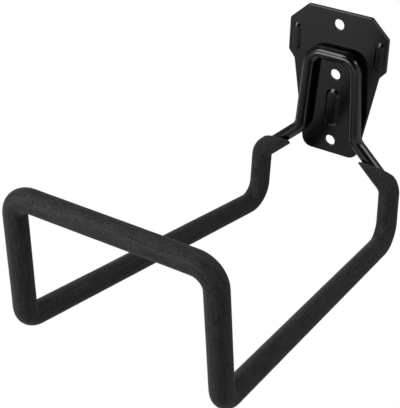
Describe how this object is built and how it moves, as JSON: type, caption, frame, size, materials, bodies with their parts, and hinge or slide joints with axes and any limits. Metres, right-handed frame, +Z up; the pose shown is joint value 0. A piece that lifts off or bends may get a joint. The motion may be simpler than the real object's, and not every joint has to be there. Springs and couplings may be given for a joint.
{
  "type": "wall-mounted hose holder",
  "caption": "Wall holder for a coiled garden hose: a pressed steel plate with a bent rod loop whose arms and front stop have a thick soft coating.",
  "frame": {"origin": "centre of the middle screw hole, on the plate's wall face", "axes": "+Z up, +Y into the wall, +X to the right for someone facing the wall; the arms reach out along -Y"},
  "size_m": [0.152, 0.2682, 0.1645],
  "materials": {
    "plate_paint": "semi-gloss black powder coat on pressed sheet steel",
    "rod_paint": "semi-gloss black powder coat on round steel rod",
    "coating": "matt black soft coating with a fine grain"
  },
  "bodies": {
    "root": {"back_plate": "plate_paint", "bent_rod": "rod_paint", "soft_coating": "coating"}
  },
  "joints": []
}
